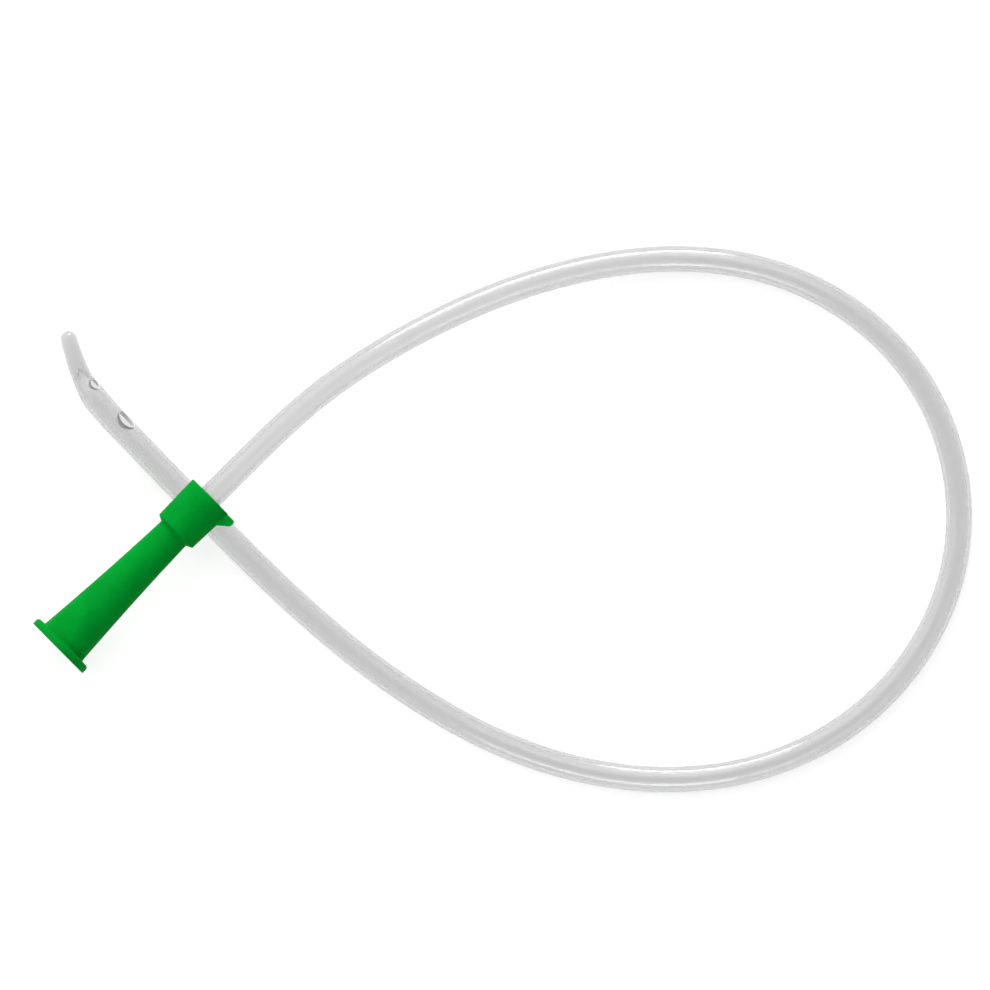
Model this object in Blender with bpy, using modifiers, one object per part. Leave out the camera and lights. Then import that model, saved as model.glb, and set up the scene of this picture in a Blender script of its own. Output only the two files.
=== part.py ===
"""Coude catheter, 14 Fr, lying in one loop on a flat surface.

Two pieces: the clear tube with its lumen, drainage eyes and bent tip, and the green funnel
connector that the tube is bonded into. Metres, +Z up, with z = 0 the surface under the tube and
the origin below the middle of the whole catheter. +X runs along the funnel from its mouth to
its collar.
"""

import math

import bmesh
import bpy
import numpy as np
from mathutils import Matrix, Vector

# Gap left between the two pieces, and under the collar where it lies over the tube
CLEARANCE = 0.0003

# Tube
TUBE_DIA = 0.00467
LUMEN_DIA = 0.0032
SEAT_DEPTH = 0.0075

# Bent tip, its lengths measured back from the very end
TIP_END_DIA = 0.0030
TIP_ROOT_DIA = 0.0035
TIP_ROOT_FROM_END = 0.0080
TIP_TAPER_LENGTH = 0.0055
TIP_WALL = 0.00055

# Drainage eyes, placed by their middles, with their length along the tube and their width.
# They look up and to the side that the tip bends to, and the lumen ends just past the first.
FIRST_EYE_FROM_END = 0.0111
FIRST_EYE_LENGTH = 0.0020
FIRST_EYE_WIDTH = 0.0018
EYE_SPACING = 0.0088
SECOND_EYE_LENGTH = 0.0036
SECOND_EYE_WIDTH = 0.0022
EYE_TURN = math.radians(48)
LUMEN_PAST_EYE = 0.0009

# Funnel, along its own axis from the mouth to the collar's end face
FUNNEL_LENGTH = 0.0387
BELL_DIA = 0.00945
BELL_WALL = 0.00078
BELL_WAIST = 0.00015
BELL_FILLET = 0.0003
FLANGE_REACH = 0.0016
FLANGE_THICKNESS = 0.0015
FLANGE_ROUND = 0.00065
EDGE_BREAK = 0.0002
NECK_DIA = 0.0063
BORE_LAND = 0.0016

# Collar and the slanting shoulder behind it
COLLAR_DIA = 0.0090
COLLAR_BACK_DIA = 0.0085
COLLAR_LENGTH = 0.0086
SHOULDER_LENGTH = 0.0008
SHOULDER_ROUND = 0.0004
SHOULDER_SLANT = 50
COLLAR_EDGE = 0.0003
SOCKET_CHAMFER = 0.0003

# Direction tab on the collar, on the side that the tip bends to
TAB_REACH = 0.00185
TAB_ROOT_LENGTH = 0.0029
TAB_END_LENGTH = 0.00126
TAB_WIDTH = 0.0044
TAB_CORNER = 0.0006
TAB_SETBACK = 0.0001
TAB_BITE = 0.0003

# Where the middle of the collar's end face stands over the surface, in plan
COLLAR_FACE_X = -0.0350
COLLAR_FACE_Y = 0.0365

# The tube's way in plan, and how far its middle is raised above where it lies flat
EXIT_STRAIGHT = 0.007
ROUTE = [
    (-0.0090, 0.0359, 0.0077),
    (0.0038, 0.0337, 0.0065),
    (0.0163, 0.0302, 0.0049),
    (0.0284, 0.0256, 0.0032),
    (0.0400, 0.0196, 0.0018),
    (0.0506, 0.0122, 0.0008),
    (0.0598, 0.0031, 0.0002),
    (0.0669, -0.0078, 0.0),
    (0.0710, -0.0201, 0.0),
    (0.0717, -0.0330, 0.0),
    (0.0687, -0.0456, 0.0),
    (0.0622, -0.0568, 0.0),
    (0.0527, -0.0657, 0.0),
    (0.0411, -0.0714, 0.0),
    (0.0284, -0.0737, 0.0),
    (0.0155, -0.0726, 0.0),
    (0.0032, -0.0682, 0.0),
    (-0.0076, -0.0611, 0.0),
    (-0.0167, -0.0519, 0.0),
    (-0.0240, -0.0411, 0.0),
    (-0.0294, -0.0293, 0.0),
    (-0.0331, -0.0168, 0.0),
    (-0.0355, -0.0041, 0.0),
    (-0.0368, 0.0089, 0.0),
    (-0.0373, 0.0218, 0.0),
    (-0.0373, 0.0348, 0.0),
    (-0.0372, 0.0478, 0.0),
    (-0.0371, 0.0549, 0.0),
    (-0.0370, 0.0602, 0.0),
    (-0.0367, 0.0636, 0.0),
    (-0.0361, 0.0668, 0.0),
    (-0.0350, 0.0698, 0.0),
    (-0.0335, 0.0728, 0.0),
    (-0.0319, 0.0758, 0.0),
]

# Fineness of the meshes
RING_SPACING = 0.006
TIP_RING_SPACING = 0.0012
TIP_FINE_LENGTH = 0.026
TUBE_BEVEL_RESOLUTION = 6
LUMEN_BEVEL_RESOLUTION = 4
END_ROUND_STEPS = 5
END_ROUND_ANGLE = 84
LINE_SAMPLES = 6000
DIRECTION_STEP = 0.0002
FUNNEL_SIDES = 40
EYE_SIDES = 24
ARC_STEPS = 4
BELL_STEPS = 6
CUTTER_OVERRUN = 0.002
WELD_DISTANCE = 0.000001
SHARP_ANGLE = math.radians(35)


def clear_scene():
    for obj in list(bpy.data.objects):
        bpy.data.objects.remove(obj, do_unlink=True)


def new_collection(name):
    collection = bpy.data.collections.new(name)
    bpy.context.scene.collection.children.link(collection)
    return collection


def new_material(name, colour, roughness, alpha=1.0):
    material = bpy.data.materials.new(name)
    material.use_nodes = True
    shader = material.node_tree.nodes["Principled BSDF"]
    shader.inputs["Base Color"].default_value = (*colour, 1.0)
    shader.inputs["Roughness"].default_value = roughness
    shader.inputs["Metallic"].default_value = 0.0
    shader.inputs["Alpha"].default_value = alpha
    return material


def as_guide(obj):
    """Marks a cutter or another shape that is not itself part of the catheter."""
    obj.hide_render = True
    obj.display_type = "WIRE"


def arc(centre, radius, start, end, steps=ARC_STEPS):
    """Points on an arc in the (radius, height) plane, angles in degrees."""
    angles = np.radians(np.linspace(start, end, steps + 1))
    return [(centre[0] + radius * math.cos(a), centre[1] + radius * math.sin(a)) for a in angles]


def collar_radius(back):
    """Outer radius of the tapered collar at a distance behind its end face."""
    slope = (COLLAR_DIA - COLLAR_BACK_DIA) / 2 / COLLAR_LENGTH
    return COLLAR_DIA / 2 - slope * back


def flange_radius():
    return BELL_DIA / 2 + FLANGE_REACH


def crossing_back():
    """How far behind the collar's end face the tube's last stretch passes under it."""
    lowest = min(range(len(ROUTE)), key=lambda i: ROUTE[i][1])
    tail = np.array(ROUTE[lowest:])
    return COLLAR_FACE_X - float(np.interp(COLLAR_FACE_Y, tail[:, 1], tail[:, 0]))


def funnel_tilt():
    """The flange's rim stands on the surface and the collar lies over the tube."""
    back = crossing_back()
    over_tube = TUBE_DIA + CLEARANCE + collar_radius(back)
    return math.asin((over_tube - flange_radius()) / (FUNNEL_LENGTH - back))


def funnel_axis():
    tilt = funnel_tilt()
    return Vector((math.cos(tilt), 0, math.sin(tilt)))


def mouth_centre():
    tilt = funnel_tilt()
    x = COLLAR_FACE_X - FUNNEL_LENGTH * math.cos(tilt)
    return Vector((x, COLLAR_FACE_Y, flange_radius() * math.cos(tilt)))


def funnel_matrix():
    """Turns the funnel's own +Z to its axis, with its own +Y level, towards +Y."""
    axis = funnel_axis()
    across = Vector((0, 1, 0))
    down = across.cross(axis)
    turn = Matrix((down, across, axis)).transposed()
    return Matrix.Translation(mouth_centre()) @ turn.to_4x4()


def natural_spline(points, samples):
    """A curve with even curvature through the points, read at many places along it."""
    points = np.array(points)
    knots = np.r_[0, np.cumsum(np.linalg.norm(np.diff(points, axis=0), axis=1))]
    gaps = np.diff(knots)[:, None]
    slopes = np.diff(points, axis=0) / gaps
    count = len(points)
    system = np.eye(count)
    right = np.zeros_like(points)
    for i in range(1, count - 1):
        system[i, i - 1] = gaps[i - 1, 0]
        system[i, i] = 2 * (gaps[i - 1, 0] + gaps[i, 0])
        system[i, i + 1] = gaps[i, 0]
        right[i] = 6 * (slopes[i] - slopes[i - 1])
    bend = np.linalg.solve(system, right)
    at = np.linspace(0, knots[-1], samples)
    k = np.clip(np.searchsorted(knots, at) - 1, 0, count - 2)
    gap = gaps[k]
    left = (at - knots[k])[:, None]
    rest = gap - left
    return (
        bend[k] * rest**3 / (6 * gap)
        + bend[k + 1] * left**3 / (6 * gap)
        + (points[k] / gap - bend[k] * gap / 6) * rest
        + (points[k + 1] / gap - bend[k + 1] * gap / 6) * left
    )


class TubeLine:
    """The tube's middle line, from its seat in the collar to the very end of the tip."""

    def __init__(self):
        axis = funnel_axis()
        face = mouth_centre() + FUNNEL_LENGTH * axis
        leaving = [face - SEAT_DEPTH * axis, face, face + EXIT_STRAIGHT * axis]
        lying = [(x, y, TUBE_DIA / 2 + rise) for x, y, rise in ROUTE]
        line = natural_spline([tuple(p) for p in leaving] + lying, LINE_SAMPLES)
        line[:, 2] = np.maximum(line[:, 2], TUBE_DIA / 2)
        self.points = line
        self.along = np.r_[0, np.cumsum(np.linalg.norm(np.diff(line, axis=0), axis=1))]
        self.length = self.along[-1]
        self.leaving = axis

    def at(self, distance):
        """A point on the line, which runs straight on before its start."""
        on_line = Vector([np.interp(distance, self.along, self.points[:, i]) for i in range(3)])
        return on_line + self.leaving * min(float(distance), 0.0)

    def direction(self, distance):
        ahead = self.at(distance + DIRECTION_STEP)
        return (ahead - self.at(distance - DIRECTION_STEP)).normalized()


def outer_radius(from_end):
    """Outer radius of the tube at a distance back from the very end of the tip."""
    root = TIP_ROOT_DIA / 2
    if from_end >= TIP_ROOT_FROM_END:
        share = min((from_end - TIP_ROOT_FROM_END) / TIP_TAPER_LENGTH, 1.0)
        smooth = share * share * (3 - 2 * share)
        return root + (TUBE_DIA / 2 - root) * smooth
    end = TIP_END_DIA / 2
    if from_end >= end:
        return end + (root - end) * (from_end - end) / (TIP_ROOT_FROM_END - end)
    return math.sqrt(max(end**2 - (end - from_end) ** 2, 0.0))


def lumen_stop():
    """Distance of the lumen's closed end from the very end of the tip."""
    return FIRST_EYE_FROM_END - FIRST_EYE_LENGTH / 2 - LUMEN_PAST_EYE


def lumen_radius(from_end):
    """The lumen follows the tapering wall and closes in a round end."""
    full = min(LUMEN_DIA / 2, outer_radius(from_end) - TIP_WALL)
    into = from_end - lumen_stop()
    if into >= full:
        return full
    return math.sqrt(max(full**2 - (full - into) ** 2, 0.0))


def tube_stations(line, stop, round_length):
    """Distances of the rings along the tube: wide on the shaft, close at the tip and its end."""
    coarse = np.linspace(0, line.length - TIP_FINE_LENGTH,
                         round((line.length - TIP_FINE_LENGTH) / RING_SPACING) + 1)
    fine_end = line.length - stop - round_length
    fine = np.linspace(coarse[-1], fine_end,
                       round((fine_end - coarse[-1]) / TIP_RING_SPACING) + 1)
    angles = np.radians(np.linspace(0, END_ROUND_ANGLE, END_ROUND_STEPS + 1))
    ending = fine_end + round_length * np.sin(angles)
    return list(coarse) + list(fine[1:]) + list(ending[1:])


def tube_object(name, line, stations, radius_at, resolution, collection):
    """A solid rod along the line, as a mesh, with its radius given at each station."""
    curve = bpy.data.curves.new(name, "CURVE")
    curve.dimensions = "3D"
    curve.twist_mode = "Z_UP"
    curve.bevel_depth = 1.0
    curve.bevel_resolution = resolution
    curve.use_fill_caps = True
    spline = curve.splines.new("POLY")
    spline.points.add(len(stations) - 1)
    for point, station in zip(spline.points, stations):
        point.co = (*line.at(station), 1.0)
        point.radius = radius_at(line.length - station)
    rod = bpy.data.objects.new(name, curve)
    collection.objects.link(rod)
    bpy.context.view_layer.update()
    return as_mesh_object(rod, collection)


def as_mesh_object(source, collection):
    """Replaces an object by its evaluated shape, as one closed mesh of the same name and place."""
    depsgraph = bpy.context.evaluated_depsgraph_get()
    mesh = bpy.data.meshes.new_from_object(source.evaluated_get(depsgraph))
    name = source.name
    place = source.matrix_world.copy()
    bpy.data.objects.remove(source, do_unlink=True)
    shape = bmesh.new()
    shape.from_mesh(mesh)
    bmesh.ops.remove_doubles(shape, verts=shape.verts, dist=WELD_DISTANCE)
    bmesh.ops.recalc_face_normals(shape, faces=shape.faces)
    shape.to_mesh(mesh)
    shape.free()
    mesh.shade_smooth()
    mesh.set_sharp_from_angle(angle=SHARP_ANGLE)
    obj = bpy.data.objects.new(name, mesh)
    obj.matrix_world = place
    collection.objects.link(obj)
    return obj


def boolean(obj, other, operation):
    modifier = obj.modifiers.new(other.name, "BOOLEAN")
    modifier.object = other
    modifier.operation = operation
    modifier.solver = "EXACT"


def eye_cutter(name, line, from_end, length, width, collection):
    """A plug with an oval section that opens one wall of the tube, from the lumen outwards."""
    mesh = bpy.data.meshes.new(name)
    shape = bmesh.new()
    height = TUBE_DIA / 2 + CUTTER_OVERRUN
    bmesh.ops.create_cone(shape, cap_ends=True, segments=EYE_SIDES, radius1=0.5, radius2=0.5,
                          depth=height)
    bmesh.ops.scale(shape, vec=(length, width, 1.0), verts=shape.verts)
    shape.to_mesh(mesh)
    shape.free()
    obj = bpy.data.objects.new(name, mesh)
    station = line.length - from_end
    along = line.direction(station)
    inner_side = along.cross(Vector((0, 0, 1))).normalized()
    outward = math.cos(EYE_TURN) * Vector((0, 0, 1)) + math.sin(EYE_TURN) * inner_side
    across = outward.cross(along)
    turn = Matrix((along, across, outward)).transposed().to_4x4()
    middle = line.at(station) + outward * height / 2
    obj.matrix_world = Matrix.Translation(middle) @ turn
    collection.objects.link(obj)
    as_guide(obj)
    return obj


def make_tube(parts, cutters, line):
    stations = tube_stations(line, 0.0, TIP_END_DIA / 2)
    tube = tube_object("catheter_tube", line, stations, outer_radius,
                       TUBE_BEVEL_RESOLUTION, parts)
    stop_radius = lumen_radius(lumen_stop() + LUMEN_DIA / 2)
    bore_stations = tube_stations(line, lumen_stop(), stop_radius)
    bore_stations[0] = -CUTTER_OVERRUN
    lumen = tube_object("lumen_cutter", line, bore_stations, lumen_radius,
                        LUMEN_BEVEL_RESOLUTION, cutters)
    as_guide(lumen)
    boolean(tube, lumen, "DIFFERENCE")
    first = eye_cutter("first_eye_cutter", line, FIRST_EYE_FROM_END, FIRST_EYE_LENGTH,
                       FIRST_EYE_WIDTH, cutters)
    second = eye_cutter("second_eye_cutter", line, FIRST_EYE_FROM_END + EYE_SPACING,
                        SECOND_EYE_LENGTH, SECOND_EYE_WIDTH, cutters)
    boolean(tube, first, "DIFFERENCE")
    boolean(tube, second, "DIFFERENCE")
    tube.data.materials.append(new_material("clear_pvc", (0.78, 0.80, 0.80), 0.35, alpha=0.55))


def funnel_outline():
    """Section of the funnel as (radius, height), down its outer side and back up its bore."""
    shoulder_top = FUNNEL_LENGTH - COLLAR_LENGTH
    neck_top = shoulder_top - SHOULDER_LENGTH
    flange = flange_radius()
    bell = BELL_DIA / 2
    bell_foot = FLANGE_THICKNESS + BELL_FILLET
    neck = NECK_DIA / 2
    mouth = bell - BELL_WALL
    lumen = LUMEN_DIA / 2
    socket = TUBE_DIA / 2 + CLEARANCE
    socket_floor = FUNNEL_LENGTH - SEAT_DEPTH - CLEARANCE
    back = collar_radius(COLLAR_LENGTH)
    outline = [(COLLAR_DIA / 2 - COLLAR_EDGE, FUNNEL_LENGTH),
               (collar_radius(COLLAR_EDGE), FUNNEL_LENGTH - COLLAR_EDGE)]
    outline += arc((back - SHOULDER_ROUND, shoulder_top), SHOULDER_ROUND, 0, -SHOULDER_SLANT)
    for share in np.linspace(0, 1, BELL_STEPS + 1):
        waist = BELL_WAIST * 4 * share * (1 - share)
        outline += [(neck + (bell - neck) * share - waist,
                     neck_top + (bell_foot - neck_top) * share)]
    outline += arc((bell + BELL_FILLET, bell_foot), BELL_FILLET, 180, 270)[1:]
    outline += arc((flange - FLANGE_ROUND, FLANGE_THICKNESS - FLANGE_ROUND),
                   FLANGE_ROUND, 90, 0)
    outline += [(flange, EDGE_BREAK), (flange - EDGE_BREAK, 0)]
    outline += arc((mouth + EDGE_BREAK, EDGE_BREAK), EDGE_BREAK, 270, 180, steps=2)
    outline += [(lumen, socket_floor - BORE_LAND), (lumen, socket_floor), (socket, socket_floor),
                (socket, FUNNEL_LENGTH - SOCKET_CHAMFER),
                (socket + SOCKET_CHAMFER, FUNNEL_LENGTH)]
    return outline


def turned_object(name, outline, collection):
    """A closed section turned about the object's own Z axis."""
    mesh = bpy.data.meshes.new(name)
    corners = [(radius, 0.0, height) for radius, height in outline]
    edges = [(i, (i + 1) % len(corners)) for i in range(len(corners))]
    mesh.from_pydata(corners, edges, [])
    obj = bpy.data.objects.new(name, mesh)
    collection.objects.link(obj)
    screw = obj.modifiers.new("turn", "SCREW")
    screw.axis = "Z"
    screw.steps = FUNNEL_SIDES
    screw.render_steps = FUNNEL_SIDES
    screw.use_merge_vertices = True
    screw.merge_threshold = WELD_DISTANCE
    bpy.context.view_layer.update()
    return as_mesh_object(obj, collection)


def eased_corner(before, corner, after, reach):
    """Points that round a corner off, starting and ending at a distance from it."""
    before, corner, after = (np.array(point) for point in (before, corner, after))
    start = corner + reach * (before - corner) / np.linalg.norm(before - corner)
    end = corner + reach * (after - corner) / np.linalg.norm(after - corner)
    shares = np.linspace(0, 1, ARC_STEPS + 1)
    return [tuple((1 - t) ** 2 * start + 2 * t * (1 - t) * corner + t**2 * end) for t in shares]


def make_tab(collection):
    """The blade beside the collar's end face: thick at its root, thin and rounded outside."""
    side = -collar_radius(TAB_ROOT_LENGTH)
    root = TAB_BITE - math.sqrt(side**2 - (TAB_WIDTH / 2) ** 2)
    tip = -(COLLAR_DIA / 2 + TAB_REACH)
    top = FUNNEL_LENGTH - TAB_SETBACK
    low = FUNNEL_LENGTH - TAB_ROOT_LENGTH
    end_low = FUNNEL_LENGTH - TAB_END_LENGTH
    outline = [(root, top), (tip + TAB_SETBACK, top), (tip, top - TAB_SETBACK)]
    outline += eased_corner((tip, top), (tip, end_low), (side, low), TAB_CORNER)
    outline += [(side, low), (root, low)]
    curve = bpy.data.curves.new("tab_blade", "CURVE")
    curve.dimensions = "2D"
    curve.fill_mode = "BOTH"
    curve.extrude = TAB_WIDTH / 2
    spline = curve.splines.new("POLY")
    spline.points.add(len(outline) - 1)
    for point, (across, height) in zip(spline.points, outline):
        point.co = (across, height, 0.0, 1.0)
    spline.use_cyclic_u = True
    blade = bpy.data.objects.new("tab_blade", curve)
    turn = Matrix(((0, 0, 1), (1, 0, 0), (0, 1, 0))).to_4x4()
    blade.matrix_world = funnel_matrix() @ turn
    collection.objects.link(blade)
    bpy.context.view_layer.update()
    tab = as_mesh_object(blade, collection)
    as_guide(tab)
    return tab


def make_funnel(parts, cutters):
    funnel = turned_object("funnel_connector", funnel_outline(), parts)
    funnel.matrix_world = funnel_matrix()
    boolean(funnel, make_tab(cutters), "UNION")
    funnel.data.materials.append(new_material("green_pvc", (0.0, 0.30, 0.05), 0.45))
    return funnel


def main():
    clear_scene()
    parts = new_collection("coude_catheter")
    cutters = new_collection("cutters")
    make_funnel(parts, cutters)
    make_tube(parts, cutters, TubeLine())


main()
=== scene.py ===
"""The look of a coude catheter: a clear, hazy tube in one loop and its green funnel connector.

Metres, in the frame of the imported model: +Z up, z = 0 the surface that the tube lies on, +X along
the funnel from its mouth to its collar.
"""

import math

import bmesh
import bpy
import numpy as np
from mathutils import Matrix, Vector


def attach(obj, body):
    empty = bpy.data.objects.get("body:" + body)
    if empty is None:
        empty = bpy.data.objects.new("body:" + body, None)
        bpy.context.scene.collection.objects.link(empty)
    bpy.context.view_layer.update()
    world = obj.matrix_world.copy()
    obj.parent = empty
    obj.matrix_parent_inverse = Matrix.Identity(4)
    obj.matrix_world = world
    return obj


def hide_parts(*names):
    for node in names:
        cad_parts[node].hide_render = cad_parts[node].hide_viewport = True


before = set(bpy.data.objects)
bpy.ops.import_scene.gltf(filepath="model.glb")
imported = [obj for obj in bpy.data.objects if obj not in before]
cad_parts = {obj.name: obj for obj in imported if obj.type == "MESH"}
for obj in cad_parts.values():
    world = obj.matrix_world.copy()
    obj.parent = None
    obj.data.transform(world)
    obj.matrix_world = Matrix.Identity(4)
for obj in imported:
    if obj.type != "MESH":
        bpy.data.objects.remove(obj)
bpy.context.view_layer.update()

# Tube
TUBE_DIA = 0.00467
LUMEN_DIA = 0.0032
SEAT_DEPTH = 0.0075
TUBE_GAP = 0.0003

# Bent tip, its lengths measured back from the very end
TIP_END_DIA = 0.0030
TIP_ROOT_DIA = 0.0035
TIP_ROOT_FROM_END = 0.0080
TIP_TAPER_LENGTH = 0.0055
TIP_WALL = 0.00055

# Drainage eyes, placed by their middles, with rounded rims, and the lumen's pointed end
FIRST_EYE = {"from_end": 0.0111, "length": 0.0020, "width": 0.0018}
SECOND_EYE = {"from_end": 0.0199, "length": 0.0036, "width": 0.0022}
EYE_TURN = math.radians(48)
EYE_ROUND = 0.00018
EYE_MARGIN = 0.0004
EYE_MARGIN_TURN = math.radians(11)
LUMEN_PAST_EYE = 0.0031
LUMEN_TAPER = 0.0036

# Funnel, along its own axis from the mouth to the collar's end face
FUNNEL_LENGTH = 0.0387
BELL_DIA = 0.00945
BELL_WALL = 0.00078
BELL_WAIST = 0.00015
BELL_FILLET = 0.0003
FLANGE_REACH = 0.0016
FLANGE_THICKNESS = 0.0015
FLANGE_ROUND = 0.00065
EDGE_BREAK = 0.0002
NECK_DIA = 0.0063
BORE_LAND = 0.0016

# Collar, the slanting shoulder behind it and the direction tab beside it, angles in degrees
COLLAR_DIA = 0.0090
COLLAR_BACK_DIA = 0.0085
COLLAR_LENGTH = 0.0086
SHOULDER_LENGTH = 0.0008
SHOULDER_ROUND = 0.0004
SHOULDER_SLANT = 50
COLLAR_EDGE = 0.0003
COLLAR_EDGE_END = 2
SOCKET_CHAMFER = 0.0003
SOCKET_GAP = 0.00003
TAB_REACH = 0.00185
TAB_ROOT_LENGTH = 0.0029
TAB_END_LENGTH = 0.00126
TAB_WIDTH = 0.0044
TAB_CORNER = 0.0006
TAB_SETBACK = 0.0001
TAB_BITE = 0.0003
TAB_EDGE = 0.00022
TAB_EDGE_STEPS = 4
TAB_FALL = 0.0005

# Where the middle of the collar's end face stands over the surface, in plan
COLLAR_FACE_X = -0.0350
COLLAR_FACE_Y = 0.0365

# The tube's way in plan, and how far its middle is raised above where it lies flat
EXIT_STRAIGHT = 0.007
ROUTE = [
    (-0.0090, 0.0359, 0.0077),
    (0.0038, 0.0337, 0.0065),
    (0.0163, 0.0302, 0.0049),
    (0.0284, 0.0256, 0.0032),
    (0.0400, 0.0196, 0.0018),
    (0.0506, 0.0122, 0.0008),
    (0.0598, 0.0031, 0.0002),
    (0.0669, -0.0078, 0.0),
    (0.0710, -0.0201, 0.0),
    (0.0717, -0.0330, 0.0),
    (0.0687, -0.0456, 0.0),
    (0.0622, -0.0568, 0.0),
    (0.0527, -0.0657, 0.0),
    (0.0411, -0.0714, 0.0),
    (0.0284, -0.0737, 0.0),
    (0.0155, -0.0726, 0.0),
    (0.0032, -0.0682, 0.0),
    (-0.0076, -0.0611, 0.0),
    (-0.0167, -0.0519, 0.0),
    (-0.0240, -0.0411, 0.0),
    (-0.0294, -0.0293, 0.0),
    (-0.0331, -0.0168, 0.0),
    (-0.0355, -0.0041, 0.0),
    (-0.0368, 0.0089, 0.0),
    (-0.0373, 0.0218, 0.0),
    (-0.0373, 0.0348, 0.0),
    (-0.0372, 0.0478, 0.0),
    (-0.0371, 0.0549, 0.0),
    (-0.0370, 0.0602, 0.0),
    (-0.0367, 0.0636, 0.0),
    (-0.0361, 0.0668, 0.0),
    (-0.0350, 0.0698, 0.0),
    (-0.0335, 0.0728, 0.0),
    (-0.0319, 0.0758, 0.0),
]

# Camera: square to the funnel's axis, which runs up and to the right in the picture
PICTURE_PX = 990
PICTURE_WIDTH = 0.1777
FUNNEL_IN_PICTURE = math.radians(44.73)
COLLAR_FACE_PX = (210.7, 496.6)
CAMERA_DISTANCE = 0.6

# Fineness of the meshes
TUBE_SIDES = 48
RING_SPACING = 0.0011
TIP_RING_SPACING = 0.0004
TIP_FINE_LENGTH = 0.026
END_ROUND_STEPS = 12
END_ROUND_ANGLE = 86
EYE_SIDES = 64
PATCH_RINGS = 6
RIM_STEPS = 5
FUNNEL_SIDES = 144
ARC_STEPS = 8
BELL_STEPS = 40
COLLAR_STEPS = 10
LINE_SAMPLES = 12000
DIRECTION_STEP = 0.0002
WELD_DISTANCE = 0.000001
ORDER_WEIGHTS = (1.0, 17.0, 291.0)
SHARP_ANGLE = math.radians(35)

# Ground: its own glow and its tone, in the open and where it is seen through the tube
FLOOR_RADIUS = 2.0
FLOOR_SIDES = 96
FLOOR_DROP = 0.00002
FLOOR_ROUGHNESS = 0.9
FLOOR_SPECULAR = 0.1
FLOOR_GLOW = 0.68
FLOOR_TONE = 0.65
THROUGH_GLOW = 0.85
THROUGH_TONE = 0.25

# Room: the walls' brightness, the heights where it changes and the window's place and width
WALL_TONE = 0.2
RING_TONE = 0.35
RING_START = 0.4
RING_END = 0.8
OVERHEAD_START = 0.93
OVERHEAD_SHARE = 0.1
WINDOW_LEAN = 0.5
WINDOW_RISE = math.radians(35)
WINDOW_REACH = math.radians(65)
WINDOW_TONE = 1.45
WINDOW_DIMMING = 0.62

# Lamps: how steeply they look down, their length and height in metres, their power in watts
LAMP_DISTANCE = 0.8
KEY_RISE = math.radians(14)
KEY_SIZE = (0.45, 0.26)
KEY_POWER = 2.4
FILL_RISE = math.radians(38)
FILL_SIZE = (0.5, 0.14)
FILL_POWER = 1.0

# Colours
BLACK = (0.0, 0.0, 0.0)
WHITE = (1.0, 1.0, 1.0)
GREEN_DEEP = (0.0, 0.30, 0.025)
GREEN_FRESH = (0.0, 0.34, 0.031)
DEPTH_COLOUR = (0.798, 0.802, 0.80, 1.0)
SKIN_TINTS = (0.92, 0.94)
LUMEN_TINTS = (0.97, 0.99)
TIP_TINTS = (0.95, 0.98)

# The stretch of a noise's range over which one tone or value changes into the other
NOISE_MIDDLE = (0.3, 0.7)
GREEN_MIDDLE = (0.35, 0.65)

# Finish of the tube. Scales are per metre, and those of the streaks per metre and per turn.
DEPTH_DENSITY = 580.0
TUBE_TRANSMISSION = 0.98
TUBE_IOR = 1.5
TUBE_COAT = 0.5
TUBE_COAT_ROUGHNESS = 0.08
HAZE = (0.10, 0.14)
HAZE_SCALE = 1800.0
LUMEN_ROUGHNESS = 0.25
STREAK_SCALE = (120.0, 26.0, 1.0)
STREAK_HEIGHT = 0.00001
GRAIN_SCALE = 3200.0
GRAIN_HEIGHT = 0.000004
TUBE_RELIEF = 0.3

# Finish of the formed tip and the stretch where it sets in, of the lumen's point and of cut walls
FORMED_FROM_END = (0.016, 0.009)
TIP_ROUGHNESS = 0.03
POINT_ROUGHNESS = 0.4
CUT_EDGE = 0.02
CUT_ROUGHNESS = 0.5
CUT_TRANSMISSION = 0.15

# Finish of the connector, its scales per metre
GREEN_TONE_SCALE = 260.0
GREEN_ROUGHNESS = (0.50, 0.62)
GREEN_ROUGHNESS_SCALE = 900.0
GREEN_SPECULAR = 0.02
WAVE_SCALE = 420.0
WAVE_HEIGHT = 0.00008
PITTING_SCALE = 9000.0
PITTING_HEIGHT = 0.000006
GREEN_RELIEF = 0.5


def arc(centre, radius, start, end, steps=ARC_STEPS):
    """Points on an arc in the (radius, height) plane, angles in degrees."""
    angles = np.radians(np.linspace(start, end, steps + 1))
    return [(centre[0] + radius * math.cos(a), centre[1] + radius * math.sin(a)) for a in angles]


def collar_radius(back):
    """Outer radius of the tapered collar at a distance behind its end face."""
    slope = (COLLAR_DIA - COLLAR_BACK_DIA) / 2 / COLLAR_LENGTH
    return COLLAR_DIA / 2 - slope * back


def flange_radius():
    return BELL_DIA / 2 + FLANGE_REACH


def funnel_tilt():
    """The flange's rim stands on the surface and the collar lies over the tube's last stretch."""
    lowest = min(range(len(ROUTE)), key=lambda i: ROUTE[i][1])
    tail = np.array(ROUTE[lowest:])
    back = COLLAR_FACE_X - float(np.interp(COLLAR_FACE_Y, tail[:, 1], tail[:, 0]))
    over_tube = TUBE_DIA + TUBE_GAP + collar_radius(back)
    return math.asin((over_tube - flange_radius()) / (FUNNEL_LENGTH - back))


def funnel_axis():
    tilt = funnel_tilt()
    return Vector((math.cos(tilt), 0, math.sin(tilt)))


def mouth_centre():
    tilt = funnel_tilt()
    x = COLLAR_FACE_X - FUNNEL_LENGTH * math.cos(tilt)
    return Vector((x, COLLAR_FACE_Y, flange_radius() * math.cos(tilt)))


def face_centre():
    return mouth_centre() + FUNNEL_LENGTH * funnel_axis()


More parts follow.
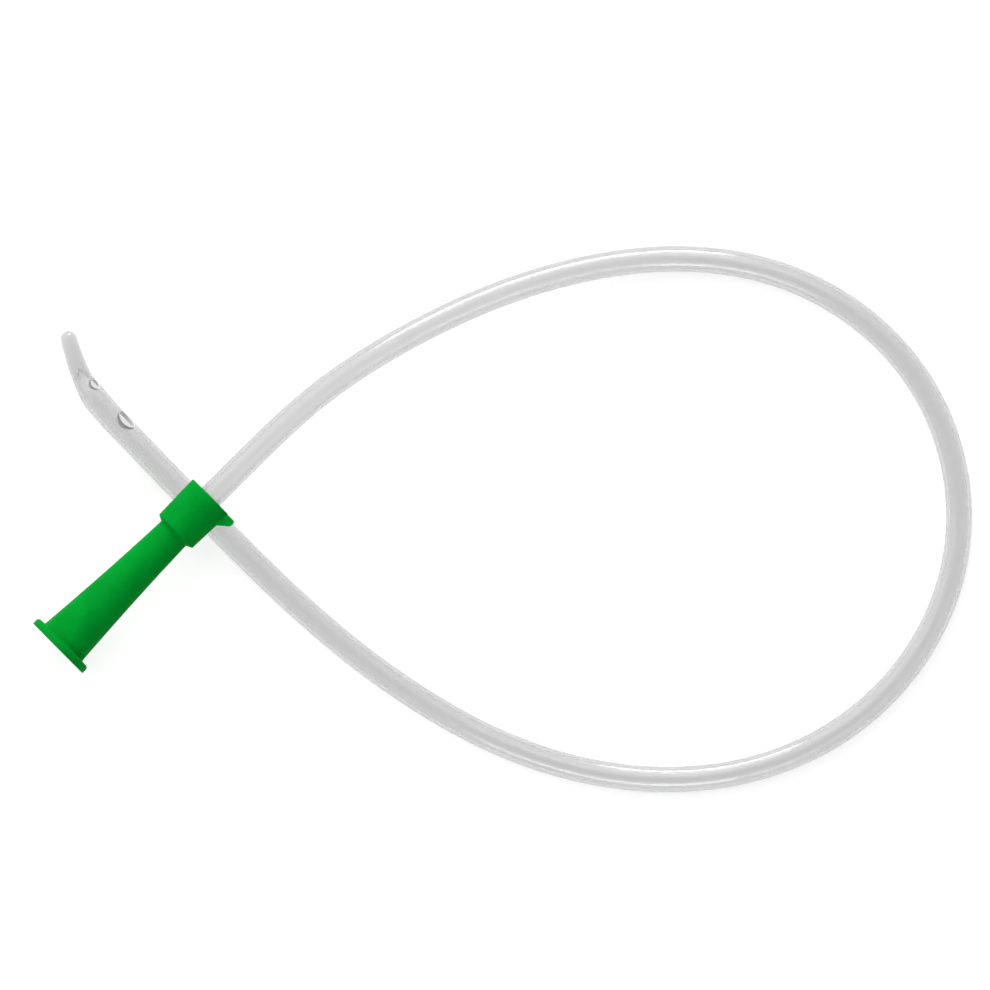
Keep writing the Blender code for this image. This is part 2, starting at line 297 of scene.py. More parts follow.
def funnel_matrix():
    """Turns the funnel's own +Z to its axis, with its own +Y level, towards +Y."""
    axis = funnel_axis()
    across = Vector((0, 1, 0))
    down = across.cross(axis)
    turn = Matrix((down, across, axis)).transposed()
    return Matrix.Translation(mouth_centre()) @ turn.to_4x4()


def make_camera():
    """Looks square at the funnel's axis, without perspective, as the photograph does."""
    axis = funnel_axis()
    level = Vector((0, 1, 0))
    turn = FUNNEL_IN_PICTURE
    right = math.cos(turn) * axis - math.sin(turn) * level
    up = math.sin(turn) * axis + math.cos(turn) * level
    back = right.cross(up)
    pixel = PICTURE_WIDTH / PICTURE_PX
    to_right = (PICTURE_PX / 2 - COLLAR_FACE_PX[0]) * pixel
    to_up = (COLLAR_FACE_PX[1] - PICTURE_PX / 2) * pixel
    target = face_centre() + to_right * right + to_up * up
    data = bpy.data.cameras.new("camera")
    data.type = "ORTHO"
    data.ortho_scale = PICTURE_WIDTH
    data.sensor_fit = "AUTO"
    camera = bpy.data.objects.new("camera", data)
    bpy.context.scene.collection.objects.link(camera)
    turned = Matrix((right, up, back)).transposed().to_4x4()
    camera.matrix_world = Matrix.Translation(target + CAMERA_DISTANCE * back) @ turned
    bpy.context.scene.camera = camera
    return right, up, back


def natural_spline(points, samples):
    """A curve with even curvature through the points, read at many places along it."""
    points = np.array(points)
    knots = np.r_[0, np.cumsum(np.linalg.norm(np.diff(points, axis=0), axis=1))]
    gaps = np.diff(knots)[:, None]
    slopes = np.diff(points, axis=0) / gaps
    count = len(points)
    system = np.eye(count)
    right = np.zeros_like(points)
    for i in range(1, count - 1):
        system[i, i - 1] = gaps[i - 1, 0]
        system[i, i] = 2 * (gaps[i - 1, 0] + gaps[i, 0])
        system[i, i + 1] = gaps[i, 0]
        right[i] = 6 * (slopes[i] - slopes[i - 1])
    bend = np.linalg.solve(system, right)
    at = np.linspace(0, knots[-1], samples)
    k = np.clip(np.searchsorted(knots, at) - 1, 0, count - 2)
    gap = gaps[k]
    left = (at - knots[k])[:, None]
    rest = gap - left
    return (
        bend[k] * rest**3 / (6 * gap)
        + bend[k + 1] * left**3 / (6 * gap)
        + (points[k] / gap - bend[k] * gap / 6) * rest
        + (points[k + 1] / gap - bend[k + 1] * gap / 6) * left
    )


class TubeLine:
    """The tube's middle line, from its seat in the collar to the very end of the tip."""

    def __init__(self):
        axis = funnel_axis()
        face = face_centre()
        leaving = [face - SEAT_DEPTH * axis, face, face + EXIT_STRAIGHT * axis]
        lying = [(x, y, TUBE_DIA / 2 + rise) for x, y, rise in ROUTE]
        line = natural_spline([tuple(p) for p in leaving] + lying, LINE_SAMPLES)
        line[:, 2] = np.maximum(line[:, 2], TUBE_DIA / 2)
        self.points = line
        self.along = np.r_[0, np.cumsum(np.linalg.norm(np.diff(line, axis=0), axis=1))]
        self.length = self.along[-1]

    def at(self, distance):
        return Vector([np.interp(distance, self.along, self.points[:, i]) for i in range(3)])

    def axes(self, distance):
        """Upwards and sideways, square to the line. Sideways is where the tip bends to."""
        ahead = self.at(min(distance + DIRECTION_STEP, self.length))
        along = (ahead - self.at(max(distance - DIRECTION_STEP, 0.0))).normalized()
        side = along.cross(Vector((0, 0, 1))).normalized()
        return side.cross(along), side


def outer_radius(from_end):
    """Outer radius of the tube at a distance back from the very end of the tip."""
    root = TIP_ROOT_DIA / 2
    if from_end >= TIP_ROOT_FROM_END:
        share = min((from_end - TIP_ROOT_FROM_END) / TIP_TAPER_LENGTH, 1.0)
        smooth = share * share * (3 - 2 * share)
        return root + (TUBE_DIA / 2 - root) * smooth
    end = TIP_END_DIA / 2
    if from_end >= end:
        return end + (root - end) * (from_end - end) / (TIP_ROOT_FROM_END - end)
    return math.sqrt(max(end**2 - (end - from_end) ** 2, 0.0))


def lumen_stop():
    """Distance of the lumen's closed end from the very end of the tip."""
    return FIRST_EYE["from_end"] - FIRST_EYE["length"] / 2 - LUMEN_PAST_EYE


def lumen_radius(from_end):
    """The lumen follows the tapering wall and closes in a slim point."""
    full = min(LUMEN_DIA / 2, outer_radius(from_end) - TIP_WALL)
    share = min(max((from_end - lumen_stop()) / LUMEN_TAPER, 0.0), 1.0)
    return full * (1 - (1 - share) ** 2)


def depth_share(from_end, radius):
    """0 on the tube's outer skin, 1 on its lumen and in between on the walls of the eyes."""
    wall = outer_radius(from_end) - lumen_radius(from_end)
    return (outer_radius(from_end) - radius) / wall if wall > 0 else 0.0


def tube_stations(line, stop, round_length):
    """Distances of the rings along the tube: wide on the shaft, close at the tip and its end."""
    shaft = line.length - TIP_FINE_LENGTH
    coarse = np.linspace(0, shaft, round(shaft / RING_SPACING) + 1)
    fine_end = line.length - stop - round_length
    fine = np.linspace(shaft, fine_end, round((fine_end - shaft) / TIP_RING_SPACING) + 1)
    angles = np.radians(np.linspace(0, END_ROUND_ANGLE, END_ROUND_STEPS + 1))
    ending = fine_end + round_length * np.sin(angles)
    return list(coarse) + list(fine[1:]) + list(ending[1:])


class TubeMesh:
    """The tube's two skins as grids of rings, with the eyes let into both and their walls."""

    def __init__(self, line):
        self.line = line
        self.shape = bmesh.new()
        self.flow = self.shape.loops.layers.uv.new("flow")
        self.depth = self.shape.verts.layers.float.new("wall_depth")
        self.where = {}
        self.frames = {}

    def frame(self, distance):
        if distance not in self.frames:
            self.frames[distance] = (self.line.at(distance), *self.line.axes(distance))
        return self.frames[distance]

    def vertex(self, distance, turn, radius):
        middle, up, side = self.frame(distance)
        outward = math.cos(turn) * up + math.sin(turn) * side
        made = self.shape.verts.new(middle + outward * radius)
        made[self.depth] = depth_share(self.line.length - distance, radius)
        self.where[made] = (distance, turn)
        return made

    def face(self, corners):
        """A face whose flow map runs along the tube and around it, in metres and in turns."""
        made = self.shape.faces.new(corners)
        made.smooth = True
        first = self.where[made.loops[0].vert][1]
        for loop in made.loops:
            distance, turn = self.where[loop.vert]
            nearest = turn - 2 * math.pi * round((turn - first) / (2 * math.pi))
            loop[self.flow].uv = (distance, nearest / (2 * math.pi))

    def bridge(self, near, far):
        for n in range(len(near)):
            m = (n + 1) % len(near)
            self.face((near[n], near[m], far[m], far[n]))

    def skin(self, stations, radius_at, eyes, end):
        """One skin of the tube. Returns its first ring and the ring round each eye."""
        turns = [2 * math.pi * j / TUBE_SIDES for j in range(TUBE_SIDES)]
        radii = [radius_at(self.line.length - s) for s in stations]
        grid = [[self.vertex(s, turn, r) for turn in turns] for s, r in zip(stations, radii)]
        taken = set()
        eye_rings = []
        for eye in eyes:
            ring, cells = self.eye_patch(eye, grid, stations, radius_at)
            eye_rings.append(ring)
            taken |= cells
        for i in range(len(grid) - 1):
            for j in range(TUBE_SIDES):
                k = (j + 1) % TUBE_SIDES
                if (i, j) not in taken:
                    self.face((grid[i][j], grid[i + 1][j], grid[i + 1][k], grid[i][k]))
        pole = self.vertex(end, 0.0, 0.0)
        for j in range(TUBE_SIDES):
            self.face((grid[-1][j], pole, grid[-1][(j + 1) % TUBE_SIDES]))
        return grid[0], eye_rings

    def on_oval(self, eye, share, offset, radius_at, depth=0.0):
        """A place on the eye's oval, widened by an offset and sunk below a skin by a depth."""
        along = (eye["length"] / 2 + offset) * math.cos(share)
        across = (eye["width"] / 2 + offset) * math.sin(share)
        radius = radius_at(eye["from_end"] - along) - depth
        middle = self.line.length - eye["from_end"]
        return middle + along, EYE_TURN + math.asin(across / radius), radius

    def eye_patch(self, eye, grid, stations, radius_at):
        """Fills the grid round an eye with rings that go from a rectangle to its oval."""
        middle = self.line.length - eye["from_end"]
        reach = eye["length"] / 2 + EYE_ROUND + EYE_MARGIN
        wide = eye["width"] / 2 + EYE_ROUND
        half = math.asin(wide / radius_at(eye["from_end"])) + EYE_MARGIN_TURN
        step = 2 * math.pi / TUBE_SIDES
        i0 = max(i for i, s in enumerate(stations) if s <= middle - reach)
        i1 = min(i for i, s in enumerate(stations) if s >= middle + reach)
        j0 = math.floor((EYE_TURN - half) / step)
        j1 = math.ceil((EYE_TURN + half) / step)
        ahead = (stations[i1] - middle, middle - stations[i0])
        aside = (j1 * step - EYE_TURN, EYE_TURN - j0 * step)
        border = []
        edge = [(i, j) for i in range(i0, i1 + 1) for j in range(j0, j1 + 1)
                if i in (i0, i1) or j in (j0, j1)]
        for i, j in edge:
            along = stations[i] - middle
            across = j * step - EYE_TURN
            across_share = across / aside[int(across < 0)]
            along_share = along / ahead[int(along < 0)]
            share = math.atan2(across_share, along_share)
            border.append((share % (2 * math.pi), grid[i][j % TUBE_SIDES]))
        border.sort(key=lambda pair: pair[0])
        rings = []
        for k in range(1, PATCH_RINGS + 1):
            blend = k / PATCH_RINGS
            ring = []
            for share in eye_shares():
                along, across = math.cos(share), math.sin(share)
                corner = max(abs(along), abs(across))
                s_edge = middle + along / corner * ahead[int(along < 0)]
                t_edge = EYE_TURN + across / corner * aside[int(across < 0)]
                s_oval, t_oval, _ = self.on_oval(eye, share, EYE_ROUND, radius_at)
                s = s_edge + (s_oval - s_edge) * blend
                t = t_edge + (t_oval - t_edge) * blend
                ring.append(self.vertex(s, t, radius_at(self.line.length - s)))
            rings.append(ring)
        self.zip_border(border, rings[0])
        for near, far in zip(rings, rings[1:]):
            self.bridge(near, far)
        cells = {(i, j % TUBE_SIDES) for i in range(i0, i1) for j in range(j0, j1)}
        return rings[-1], cells

    def zip_border(self, border, ring):
        """Triangles between the rectangle's vertices and a ring, both sorted by their shares."""
        border_at = [share for share, _ in border] + [border[0][0] + 2 * math.pi]
        ring_at = eye_shares() + [2 * math.pi]
        i, k = 0, 0
        while i < len(border) or k < len(ring):
            here = border[i % len(border)][1]
            inner = ring[k % len(ring)]
            if k == len(ring) or (i < len(border) and border_at[i + 1] <= ring_at[k + 1]):
                self.face((here, border[(i + 1) % len(border)][1], inner))
                i += 1
            else:
                self.face((here, ring[(k + 1) % len(ring)], inner))
                k += 1

    def eye_wall(self, eye, outer_ring, lumen_ring):
        """The wall of an eye, from the outer skin over two rounded rims into the lumen."""
        rings = [outer_ring]
        angles = np.radians(np.linspace(0, 90, RIM_STEPS + 1))
        rims = [(outer_radius, a, 1) for a in angles[1:]]
        rims += [(lumen_radius, a, -1) for a in angles[:0:-1]]
        for radius_at, angle, inwards in rims:
            offset = EYE_ROUND * (1 - math.sin(angle))
            depth = inwards * EYE_ROUND * (1 - math.cos(angle))
            rings.append([self.vertex(*self.on_oval(eye, share, offset, radius_at, depth))
                          for share in eye_shares()])
        rings.append(lumen_ring)
        for near, far in zip(rings, rings[1:]):
            self.bridge(near, far)

    def finished(self, name):
        bmesh.ops.recalc_face_normals(self.shape, faces=self.shape.faces)
        mesh = bpy.data.meshes.new(name)
        self.shape.to_mesh(mesh)
        self.shape.free()
        mesh.set_sharp_from_angle(angle=SHARP_ANGLE)
        return shown_object(name, mesh)


def eye_shares():
    return [2 * math.pi * n / EYE_SIDES for n in range(EYE_SIDES)]


def shown_object(name, mesh):
    obj = bpy.data.objects.new(name, mesh)
    bpy.context.scene.collection.objects.link(obj)
    return obj


def make_tube(line):
    """The tube with its lumen, eyes and closed tip."""
    eyes = (FIRST_EYE, SECOND_EYE)
    tube = TubeMesh(line)
    stations = tube_stations(line, 0.0, TIP_END_DIA / 2)
    outer_start, outer_rings = tube.skin(stations, outer_radius, eyes, line.length)
    bore_stations = tube_stations(line, lumen_stop(), LUMEN_TAPER / 2)
    lumen_end = line.length - lumen_stop()
    lumen_start, lumen_rings = tube.skin(bore_stations, lumen_radius, eyes, lumen_end)
    tube.bridge(outer_start, lumen_start)
    for eye, outer_ring, lumen_ring in zip(eyes, outer_rings, lumen_rings):
        tube.eye_wall(eye, outer_ring, lumen_ring)
    piece = tube.finished("soft_tube")
    path = [line.at(s) for s in stations]
    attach(piece, "root")
    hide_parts("catheter_tube")
    return piece


def funnel_outline():
    """Section of the funnel as (radius, height), down its outer side and back up its bore."""
    shoulder_top = FUNNEL_LENGTH - COLLAR_LENGTH
    neck_top = shoulder_top - SHOULDER_LENGTH
    flange = flange_radius()
    bell = BELL_DIA / 2
    bell_foot = FLANGE_THICKNESS + BELL_FILLET
    neck = NECK_DIA / 2
    mouth = bell - BELL_WALL
    lumen = LUMEN_DIA / 2
    socket = TUBE_DIA / 2 + SOCKET_GAP
    socket_floor = FUNNEL_LENGTH - SEAT_DEPTH - TUBE_GAP
    back = collar_radius(COLLAR_LENGTH)
    edge_centre = (collar_radius(0) - COLLAR_EDGE, FUNNEL_LENGTH - COLLAR_EDGE)
    outline = arc(edge_centre, COLLAR_EDGE, 90, COLLAR_EDGE_END)
    for back_by in np.linspace(COLLAR_EDGE, COLLAR_LENGTH, COLLAR_STEPS + 1)[1:-1]:
        outline.append((collar_radius(back_by), FUNNEL_LENGTH - back_by))
    outline += arc((back - SHOULDER_ROUND, shoulder_top), SHOULDER_ROUND, 0, -SHOULDER_SLANT)
    for share in np.linspace(0, 1, BELL_STEPS + 1):
        waist = BELL_WAIST * 4 * share * (1 - share)
        outline.append((neck + (bell - neck) * share - waist,
                        neck_top + (bell_foot - neck_top) * share))
    outline += arc((bell + BELL_FILLET, bell_foot), BELL_FILLET, 180, 270)[1:]
    outline += arc((flange - FLANGE_ROUND, FLANGE_THICKNESS - FLANGE_ROUND), FLANGE_ROUND, 90, 0)
    outline += arc((flange - EDGE_BREAK, EDGE_BREAK), EDGE_BREAK, 0, -90)
    outline += arc((mouth + EDGE_BREAK, EDGE_BREAK), EDGE_BREAK, 270, 180)
    outline += [(lumen, socket_floor - BORE_LAND), (lumen, socket_floor), (socket, socket_floor)]
    outline += [(socket, FUNNEL_LENGTH - SOCKET_CHAMFER), (socket + SOCKET_CHAMFER, FUNNEL_LENGTH)]
    return outline


def turned_mesh(name, outline, sides):
    """A closed section turned once about the mesh's own Z axis."""
    shape = bmesh.new()
    rings = []
    for n in range(sides):
        turn = 2 * math.pi * n / sides
        rings.append([shape.verts.new((r * math.cos(turn), r * math.sin(turn), h))
                      for r, h in outline])
    count = len(outline)
    for near, far in zip(rings, rings[1:] + rings[:1]):
        for i in range(count):
            k = (i + 1) % count
            shape.faces.new((near[i], near[k], far[k], far[i]))
    bmesh.ops.recalc_face_normals(shape, faces=shape.faces)
    mesh = bpy.data.meshes.new(name)
    shape.to_mesh(mesh)
    shape.free()
    return mesh


def eased_corner(before, corner, after, reach):
    """Points that round a corner off, starting and ending at a distance from it."""
    before, corner, after = (np.array(point) for point in (before, corner, after))
    start = corner + reach * (before - corner) / np.linalg.norm(before - corner)
    end = corner + reach * (after - corner) / np.linalg.norm(after - corner)
    shares = np.linspace(0, 1, ARC_STEPS + 1)
    return [tuple((1 - t) ** 2 * start + 2 * t * (1 - t) * corner + t**2 * end) for t in shares]


def keep_order(shape):
    """Sorts corners, edges and faces by place, so that every run gives the same mesh."""
    weights = Vector(ORDER_WEIGHTS)
    shape.verts.sort(key=lambda vertex: vertex.co.dot(weights))
    shape.edges.sort(key=lambda edge: (edge.verts[0].co + edge.verts[1].co).dot(weights))
    shape.faces.sort(key=lambda face: face.calc_center_median().dot(weights))


def tab_mesh():
    """The blade beside the collar's end face, in the funnel's own axes, with eased edges."""
    side = -collar_radius(TAB_ROOT_LENGTH)
    root = TAB_BITE - math.sqrt(side**2 - (TAB_WIDTH / 2) ** 2)
    tip = -(COLLAR_DIA / 2 + TAB_REACH)
    top = FUNNEL_LENGTH - TAB_SETBACK
    low = FUNNEL_LENGTH - TAB_ROOT_LENGTH
    end_low = FUNNEL_LENGTH - TAB_END_LENGTH
    outline = [(root, top), (tip + TAB_EDGE, top)]
    outline += eased_corner((tip, top), (tip, end_low), (side, low), TAB_CORNER)
    outline += [(side, low), (root, low)]
    shape = bmesh.new()
    corners = [shape.verts.new((-TAB_WIDTH / 2, across, height)) for across, height in outline]
    blade = shape.faces.new(corners)
    grown = bmesh.ops.extrude_face_region(shape, geom=[blade])
    moved = [v for v in grown["geom"] if isinstance(v, bmesh.types.BMVert)]
    bmesh.ops.translate(shape, verts=moved, vec=(TAB_WIDTH, 0, 0))
    for vertex in shape.verts:
        rise = (vertex.co.z - low) / (top - low)
        vertex.co.x -= math.copysign(TAB_FALL * rise, vertex.co.x)
    bmesh.ops.recalc_face_normals(shape, faces=shape.faces)
    flat = [e for e in shape.edges if abs(e.verts[0].co.x - e.verts[1].co.x) < WELD_DISTANCE]
    bmesh.ops.bevel(shape, geom=flat, offset=TAB_EDGE, segments=TAB_EDGE_STEPS,
                    profile=0.5, affect="EDGES", clamp_overlap=True)
    keep_order(shape)
    mesh = bpy.data.meshes.new("tab_blade")
    shape.to_mesh(mesh)
    shape.free()
    return mesh


def make_funnel():
    """The moulded connector: the turned body with the tab grown onto its collar."""
    body = shown_object("moulded_funnel", turned_mesh("moulded_funnel", funnel_outline(),
                                                     FUNNEL_SIDES))
    tab = shown_object("tab_blade", tab_mesh())
    union = body.modifiers.new("tab", "BOOLEAN")
    union.object = tab
    union.operation = "UNION"
    union.solver = "EXACT"
    bpy.context.view_layer.update()
    depsgraph = bpy.context.evaluated_depsgraph_get()
    joined = bpy.data.meshes.new_from_object(body.evaluated_get(depsgraph))
    body.modifiers.clear()
    body.data = joined
    bpy.data.objects.remove(tab, do_unlink=True)
    joined.transform(funnel_matrix())
    joined.shade_smooth()
    joined.set_sharp_from_angle(angle=SHARP_ANGLE)
    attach(body, "root")
    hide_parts("funnel_connector")
    return body


class Nodes:
    """A material's node tree, with short ways to add to it."""

    def __init__(self, name):
        self.material = bpy.data.materials.new(name)
        self.material.use_nodes = True
        self.tree = self.material.node_tree
        self.shader = self.tree.nodes["Principled BSDF"]
        self.output = self.tree.nodes["Material Output"]

    def add(self, kind, **values):
        """A node with properties and input values given by name, _ standing for a space."""
        node = self.tree.nodes.new(kind)
        for key, value in values.items():
            label = key.replace("_", " ")
            if label in node.inputs:
                node.inputs[label].default_value = value
            else:
                setattr(node, key, value)
        return node

    def link(self, source, target):
        self.tree.links.new(source, target)

    def set(self, **values):
        for key, value in values.items():
            self.shader.inputs[key.replace("_", " ")].default_value = value

    def noise(self, where, scale, detail=2.0, roughness=0.5):
        node = self.add("ShaderNodeTexNoise", Scale=scale, Detail=detail, Roughness=roughness)
        self.link(where, node.inputs["Vector"])
        return node.outputs["Fac"]

    def spread(self, value, low, high):
        """Maps a noise's middle values to a range."""
        node = self.add("ShaderNodeMapRange", From_Min=NOISE_MIDDLE[0], From_Max=NOISE_MIDDLE[1],
                        To_Min=low, To_Max=high)
        self.link(value, node.inputs["Value"])
        return node.outputs["Result"]

    def ramp(self, value, *stops):
        node = self.add("ShaderNodeValToRGB")
        elements = node.color_ramp.elements
        while len(elements) < len(stops):
            elements.new(0.5)
        for element, (place, colour) in zip(elements, stops):
            element.position = place
            element.color = (*colour, 1.0)
        self.link(value, node.inputs["Fac"])
        return node.outputs["Color"]

    def greys(self, value, dark, light):
        """Maps a noise's middle values to neutral tones."""
        tones = (3 * (dark,), 3 * (light,))
        return self.ramp(value, *zip(NOISE_MIDDLE, tones))

    def mix(self, kind, share, low, high):
        """Mixes two colours or numbers, each a socket or a plain value."""
        node = self.add("ShaderNodeMix", data_type=kind)
        sockets = [s for s in node.inputs if s.enabled]
        for value, socket in zip((share, low, high), sockets):
            if isinstance(value, bpy.types.NodeSocket):
                self.link(value, socket)
            else:
                socket.default_value = value
        return next(s for s in node.outputs if s.enabled)

    def bump(self, height, distance, strength=1.0, after=None):
        node = self.add("ShaderNodeBump", Distance=distance, Strength=strength)
        self.link(height, node.inputs["Height"])
        if after:
            self.link(after, node.inputs["Normal"])
        return node.outputs["Normal"]


def green_pvc():
    """Satin moulded green, slightly uneven in tone, gloss and surface."""
    n = Nodes("green_pvc")
    where = n.add("ShaderNodeTexCoord").outputs["Object"]
    tone = n.noise(where, GREEN_TONE_SCALE, detail=3.0)
    green = n.ramp(tone, *zip(GREEN_MIDDLE, (GREEN_DEEP, GREEN_FRESH)))
    n.link(green, n.shader.inputs["Base Color"])
    satin = n.spread(n.noise(where, GREEN_ROUGHNESS_SCALE), *GREEN_ROUGHNESS)
    n.link(satin, n.shader.inputs["Roughness"])
    waves = n.noise(where, WAVE_SCALE, detail=1.0)
    pitting = n.noise(where, PITTING_SCALE, detail=2.0)
    wavy = n.bump(waves, WAVE_HEIGHT, GREEN_RELIEF)
    n.link(n.bump(pitting, PITTING_HEIGHT, GREEN_RELIEF, wavy), n.shader.inputs["Normal"])
    n.set(Specular_IOR_Level=GREEN_SPECULAR)
    return n.material


def clear_pvc(length):
    """Clear tubing that darkens with depth: hazy and finely streaked along the drawn part,
    smooth on the formed tip and frosted on the cut walls of the eyes."""
    n = Nodes("clear_pvc")
    where = n.add("ShaderNodeTexCoord").outputs["Object"]
    flow = n.add("ShaderNodeUVMap", uv_map="flow").outputs["UV"]
    drawn = n.add("ShaderNodeMapping", vector_type="POINT")
    drawn.inputs["Scale"].default_value = STREAK_SCALE
    n.link(flow, drawn.inputs["Vector"])
    streak = n.noise(drawn.outputs["Vector"], 1.0, detail=3.0)
    along = n.add("ShaderNodeSeparateXYZ")
    n.link(flow, along.inputs["Vector"])
    formed = n.add("ShaderNodeMapRange", interpolation_type="SMOOTHSTEP",
                   From_Min=length - FORMED_FROM_END[0], From_Max=length - FORMED_FROM_END[1])
    n.link(along.outputs["X"], formed.inputs["Value"])
    tip = formed.outputs["Result"]
    depth = n.add("ShaderNodeAttribute", attribute_name="wall_depth").outputs["Fac"]
    cut = n.ramp(depth, (0.0, BLACK), (CUT_EDGE, WHITE), (1.0 - CUT_EDGE, WHITE), (1.0, BLACK))

    outer = n.mix("RGBA", tip, n.greys(streak, *SKIN_TINTS), n.greys(streak, *TIP_TINTS))
    tint = n.mix("RGBA", depth, outer, n.greys(streak, *LUMEN_TINTS))
    n.link(tint, n.shader.inputs["Base Color"])

    haze = n.spread(n.noise(where, HAZE_SCALE, detail=3.0), *HAZE)
    drawn_walls = n.mix("FLOAT", depth, haze, LUMEN_ROUGHNESS)
    tip_walls = n.mix("FLOAT", depth, TIP_ROUGHNESS, POINT_ROUGHNESS)
    walls = n.mix("FLOAT", tip, drawn_walls, tip_walls)
    n.link(n.mix("FLOAT", cut, walls, CUT_ROUGHNESS), n.shader.inputs["Roughness"])
    passed = n.mix("FLOAT", cut, TUBE_TRANSMISSION, CUT_TRANSMISSION)
    n.link(passed, n.shader.inputs["Transmission Weight"])

    grain = n.bump(n.noise(where, GRAIN_SCALE, detail=1.0), GRAIN_HEIGHT, TUBE_RELIEF)
    n.link(n.bump(streak, STREAK_HEIGHT, TUBE_RELIEF, grain), n.shader.inputs["Normal"])
    n.set(IOR=TUBE_IOR, Coat_Weight=TUBE_COAT, Coat_Roughness=TUBE_COAT_ROUGHNESS)
    body = n.add("ShaderNodeVolumeAbsorption", Color=DEPTH_COLOUR, Density=DEPTH_DENSITY)
    n.link(body.outputs["Volume"], n.output.inputs["Volume"])
    return n.material


def make_floor():
    """A plain white ground that stays white to the eye and keeps the catheter's shadow."""
    n = Nodes("white_ground")
    n.set(Roughness=FLOOR_ROUGHNESS, Specular_IOR_Level=FLOOR_SPECULAR,
          Emission_Color=(*WHITE, 1.0))
    rays = n.add("ShaderNodeLightPath")
    seen = n.add("ShaderNodeMath", operation="MAXIMUM")
    n.link(rays.outputs["Is Camera Ray"], seen.inputs[0])
    n.link(rays.outputs["Is Glossy Ray"], seen.inputs[1])
    shown = n.mix("FLOAT", seen.outputs[0], 0.0, FLOOR_GLOW)
    through = rays.outputs["Is Transmission Ray"]
    n.link(n.mix("FLOAT", through, shown, THROUGH_GLOW), n.shader.inputs["Emission Strength"])
    open_tone = (*(3 * (FLOOR_TONE,)), 1.0)
    through_tone = (*(3 * (THROUGH_TONE,)), 1.0)
    n.link(n.mix("RGBA", through, open_tone, through_tone), n.shader.inputs["Base Color"])
    mesh = bpy.data.meshes.new("ground")
    shape = bmesh.new()
    bmesh.ops.create_circle(shape, cap_ends=True, segments=FLOOR_SIDES, radius=FLOOR_RADIUS)
    bmesh.ops.translate(shape, verts=shape.verts, vec=(0, 0, -FLOOR_DROP))
    shape.to_mesh(mesh)
    shape.free()
    mesh.materials.append(n.material)
    floor = shown_object("ground", mesh)


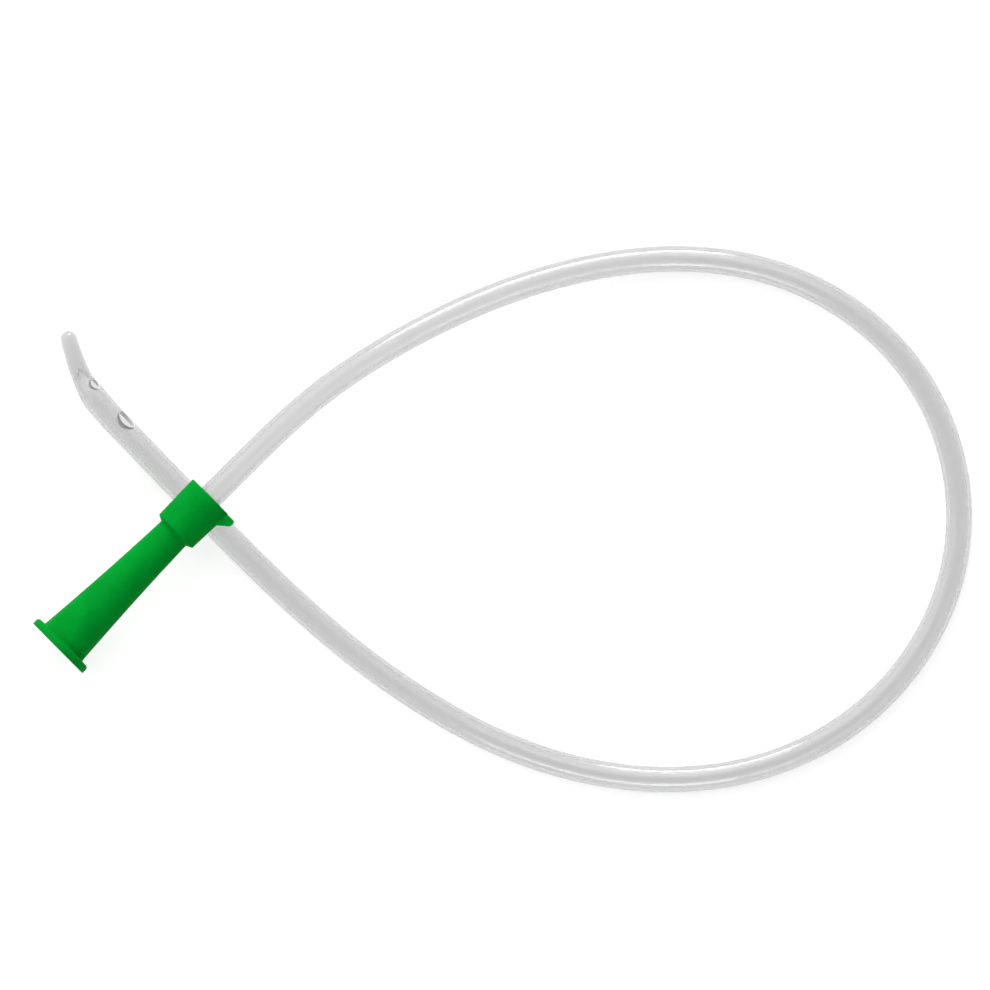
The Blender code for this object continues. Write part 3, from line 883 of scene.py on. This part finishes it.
def make_world(right, up, back):
    """A pale room, dark straight overhead, with a broad soft window beyond the upper left that is
    dimmer in reflections. Below the horizon it shows the same white as the ground."""
    world = bpy.data.worlds.new("room")
    bpy.context.scene.world = world
    world.use_nodes = True
    tree = world.node_tree

    def math_node(operation, first, second):
        made = tree.nodes.new("ShaderNodeMath")
        made.operation = operation
        for value, socket in zip((first, second), made.inputs):
            if isinstance(value, bpy.types.NodeSocket):
                tree.links.new(value, socket)
            else:
                socket.default_value = value
        return made.outputs["Value"]

    def eased(source, low, high, out_low, out_high):
        made = tree.nodes.new("ShaderNodeMapRange")
        made.interpolation_type = "SMOOTHSTEP"
        tree.links.new(source, made.inputs["Value"])
        for name, value in (("From Min", low), ("From Max", high),
                            ("To Min", out_low), ("To Max", out_high)):
            made.inputs[name].default_value = value
        return made.outputs["Result"]

    looking = tree.nodes.new("ShaderNodeTexCoord").outputs["Generated"]
    split = tree.nodes.new("ShaderNodeSeparateXYZ")
    tree.links.new(looking, split.inputs["Vector"])
    height = split.outputs["Z"]
    towards = tree.nodes.new("ShaderNodeVectorMath")
    towards.operation = "DOT_PRODUCT"
    tree.links.new(looking, towards.inputs[0])
    window = (up - WINDOW_LEAN * right).normalized()
    towards.inputs[1].default_value = math.cos(WINDOW_RISE) * window + math.sin(WINDOW_RISE) * back
    walls = eased(height, 0.0, RING_START, WALL_TONE, RING_TONE)
    overhead = eased(height, RING_END, OVERHEAD_START, 1.0, OVERHEAD_SHARE)
    glow = eased(towards.outputs["Value"], math.cos(WINDOW_REACH), 1.0, 0.0, WINDOW_TONE)
    rays = tree.nodes.new("ShaderNodeLightPath").outputs
    mirrored = math_node("MAXIMUM", rays["Is Glossy Ray"], rays["Is Transmission Ray"])
    dimming = math_node("MULTIPLY", mirrored, WINDOW_DIMMING)
    glow = math_node("MULTIPLY", glow, math_node("SUBTRACT", 1.0, dimming))
    room = math_node("ADD", math_node("MULTIPLY", walls, overhead), glow)
    seen = math_node("MAXIMUM", rays["Is Camera Ray"], rays["Is Glossy Ray"])
    seen = math_node("MAXIMUM", seen, rays["Is Transmission Ray"])
    below = math_node("MULTIPLY", seen, math_node("LESS_THAN", height, 0.0))
    backdrop = math_node("MULTIPLY", below, math_node("SUBTRACT", 1.0, room))
    background = tree.nodes["Background"]
    tree.links.new(math_node("ADD", room, backdrop), background.inputs["Strength"])
    background.inputs["Color"].default_value = (*WHITE, 1.0)


def make_lamp(name, direction, distance, size, power):
    """A soft rectangular lamp that looks at the frame's origin from a direction."""
    data = bpy.data.lights.new(name, "AREA")
    data.shape = "RECTANGLE"
    data.size, data.size_y = size
    data.energy = power
    lamp = bpy.data.objects.new(name, data)
    bpy.context.scene.collection.objects.link(lamp)
    lamp.location = distance * direction
    lamp.rotation_mode = "QUATERNION"
    lamp.rotation_quaternion = (-direction).to_track_quat("-Z", "Y")
    lamp.visible_camera = False
    return lamp


def make_lights(up, back):
    """A tall softbox beyond the picture's top edge and a strip beyond its bottom edge."""
    for name, side, rise, power, size in (
        ("key_softbox", up, KEY_RISE, KEY_POWER, KEY_SIZE),
        ("fill_strip", -up, FILL_RISE, FILL_POWER, FILL_SIZE),
    ):
        direction = math.cos(rise) * side.normalized() + math.sin(rise) * back
        make_lamp(name, direction, LAMP_DISTANCE, size, power)


def main():
    right, up, back = make_camera()
    line = TubeLine()
    tube = make_tube(line)
    funnel = make_funnel()
    tube.data.materials.append(clear_pvc(line.length))
    funnel.data.materials.clear()
    funnel.data.materials.append(green_pvc())
    make_floor()
    make_world(right, up, back)
    make_lights(up, back)
    bpy.context.scene.view_settings.view_transform = "Standard"


main()
